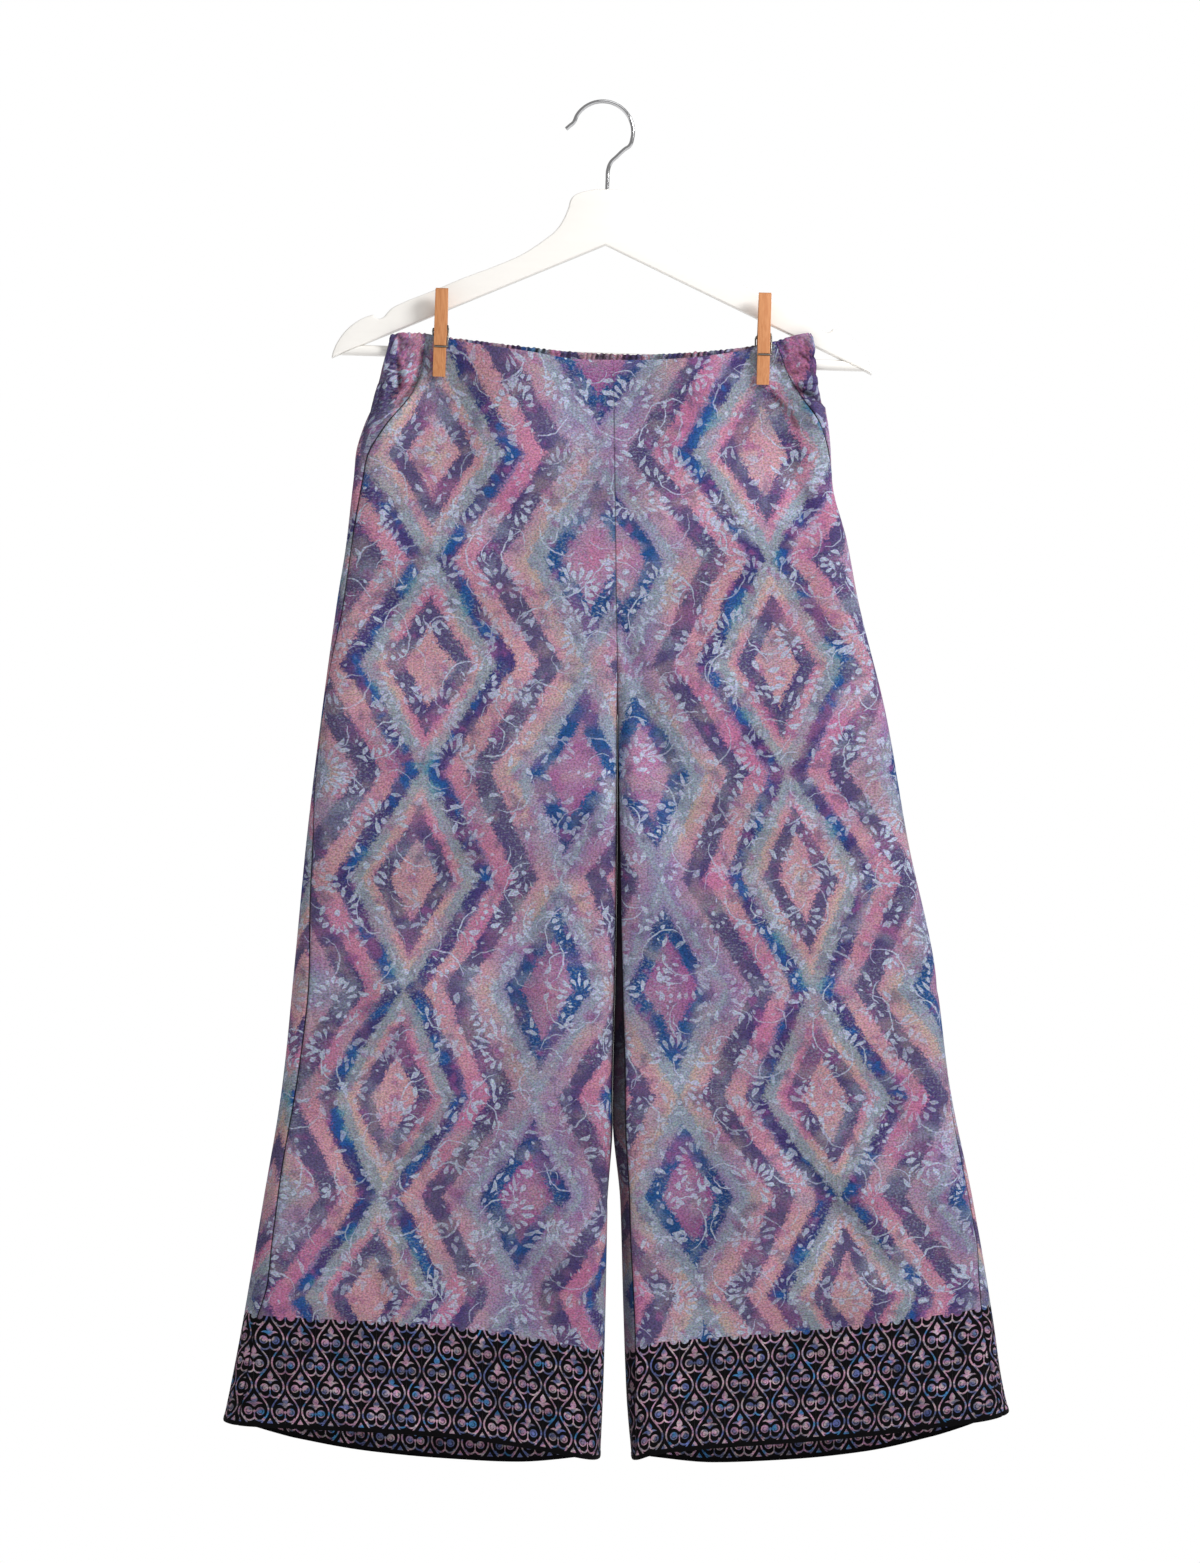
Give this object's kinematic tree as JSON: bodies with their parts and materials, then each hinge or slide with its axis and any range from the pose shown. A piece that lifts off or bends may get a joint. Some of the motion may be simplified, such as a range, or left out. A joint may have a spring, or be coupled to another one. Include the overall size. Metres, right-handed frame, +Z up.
{
  "type": "palazzo pants on a hanger",
  "caption": "Cropped wide-leg pull-on palazzo pants with a flat front and gathered elastic back waist, printed cloth with a dark hem border, pinned by clothespins to the bar of a hanger.",
  "frame": {"origin": "inner crown of the hanger's hook, where a rail carries it", "axes": "+Z up along the hanging garment, +X to the right of someone facing its front, -Y out of its front"},
  "size_m": [0.6517, 0.0471, 1.1367],
  "materials": {
    "printed_cloth": "soft light woven viscose with an all-over print and a dark printed hem border",
    "white_lacquer": "white satin lacquer",
    "bright_wire": "bright plated wire",
    "clothespin_wood": "raw birch, slightly warm in colour",
    "spring_steel": "galvanised spring wire"
  },
  "bodies": {
    "root": {"front_left": "printed_cloth", "front_right": "printed_cloth", "back_left": "printed_cloth", "back_right": "printed_cloth", "back_waist_casing": "printed_cloth", "hanger_arms": "white_lacquer", "trouser_bar": "white_lacquer", "hook": "bright_wire", "clothespin_left_front_lever": "clothespin_wood", "clothespin_left_back_lever": "clothespin_wood", "clothespin_left_spring": "spring_steel", "clothespin_right_front_lever": "clothespin_wood", "clothespin_right_back_lever": "clothespin_wood", "clothespin_right_spring": "spring_steel"}
  },
  "joints": []
}
